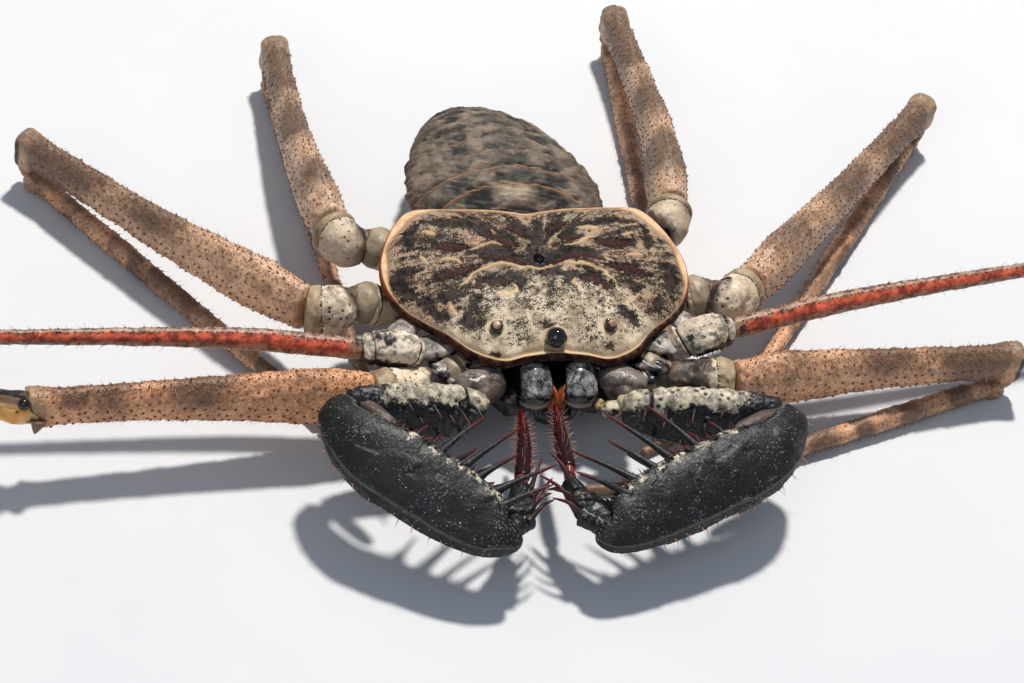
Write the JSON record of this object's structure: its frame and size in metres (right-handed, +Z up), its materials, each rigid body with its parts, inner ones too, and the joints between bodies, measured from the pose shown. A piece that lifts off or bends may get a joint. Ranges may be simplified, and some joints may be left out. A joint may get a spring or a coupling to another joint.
{
  "type": "whip spider (Phrynus pulchripes), still life-size model",
  "caption": "Still, life-size model of a whip spider standing flat on a floor with its spiny arms folded in front and its long whips swept back.",
  "frame": {"origin": "on the floor under the middle of the model's box", "axes": "+Z up; the animal faces -Y; its right side is towards -X"},
  "size_m": [0.0964, 0.0732, 0.0085],
  "materials": {
    "carapace": "satin, mottled cream, grey and dark maroon",
    "abdomen": "satin, mottled grey-olive with dark blotches",
    "eye": "glossy, black",
    "underside": "satin, cream with dark mottling",
    "leg": "satin, tan with grey-brown bands",
    "tarsus": "satin, brown",
    "whip": "semi-gloss, rust red",
    "arm": "semi-gloss, black with white speckles",
    "claw": "glossy, dark wine red",
    "chelicera": "glossy, black with grey faces"
  },
  "bodies": {
    "root": {"carapace": "carapace", "eyes_middle": "eye", "eyes_right": "eye", "eyes_left": "eye", "underside": "underside", "abdomen": "abdomen", "chelicera_right": "chelicera", "chelicera_left": "chelicera", "leg2_right_trochanter": "leg", "leg2_right_femur": "leg", "leg2_right_patella": "leg", "leg2_right_tibia": "leg", "leg2_right_tarsus": "tarsus", "leg3_right_trochanter": "leg", "leg3_right_femur": "leg", "leg3_right_patella": "leg", "leg3_right_tibia": "leg", "leg3_right_tarsus": "tarsus", "leg4_right_trochanter": "leg", "leg4_right_femur": "leg", "leg4_right_patella": "leg", "leg4_right_tibia": "leg", "leg4_right_tarsus": "tarsus", "leg2_left_trochanter": "leg", "leg2_left_femur": "leg", "leg2_left_patella": "leg", "leg2_left_tibia": "leg", "leg2_left_tarsus": "tarsus", "leg3_left_trochanter": "leg", "leg3_left_femur": "leg", "leg3_left_patella": "leg", "leg3_left_tibia": "leg", "leg3_left_tarsus": "tarsus", "leg4_left_trochanter": "leg", "leg4_left_femur": "leg", "leg4_left_patella": "leg", "leg4_left_tibia": "leg", "leg4_left_tarsus": "tarsus", "whip_right_trochanter": "underside", "whip_right_femur": "whip", "whip_right_tibia": "whip", "whip_right_tarsus": "whip", "whip_left_trochanter": "underside", "whip_left_femur": "whip", "whip_left_tibia": "whip", "whip_left_tarsus": "whip", "arm_right_trochanter": "arm", "arm_right_femur": "arm", "arm_right_patella": "arm", "arm_right_tibia": "arm", "arm_right_tarsus": "claw", "arm_left_trochanter": "arm", "arm_left_femur": "arm", "arm_left_patella": "arm", "arm_left_tibia": "arm", "arm_left_tarsus": "claw"}
  },
  "joints": []
}
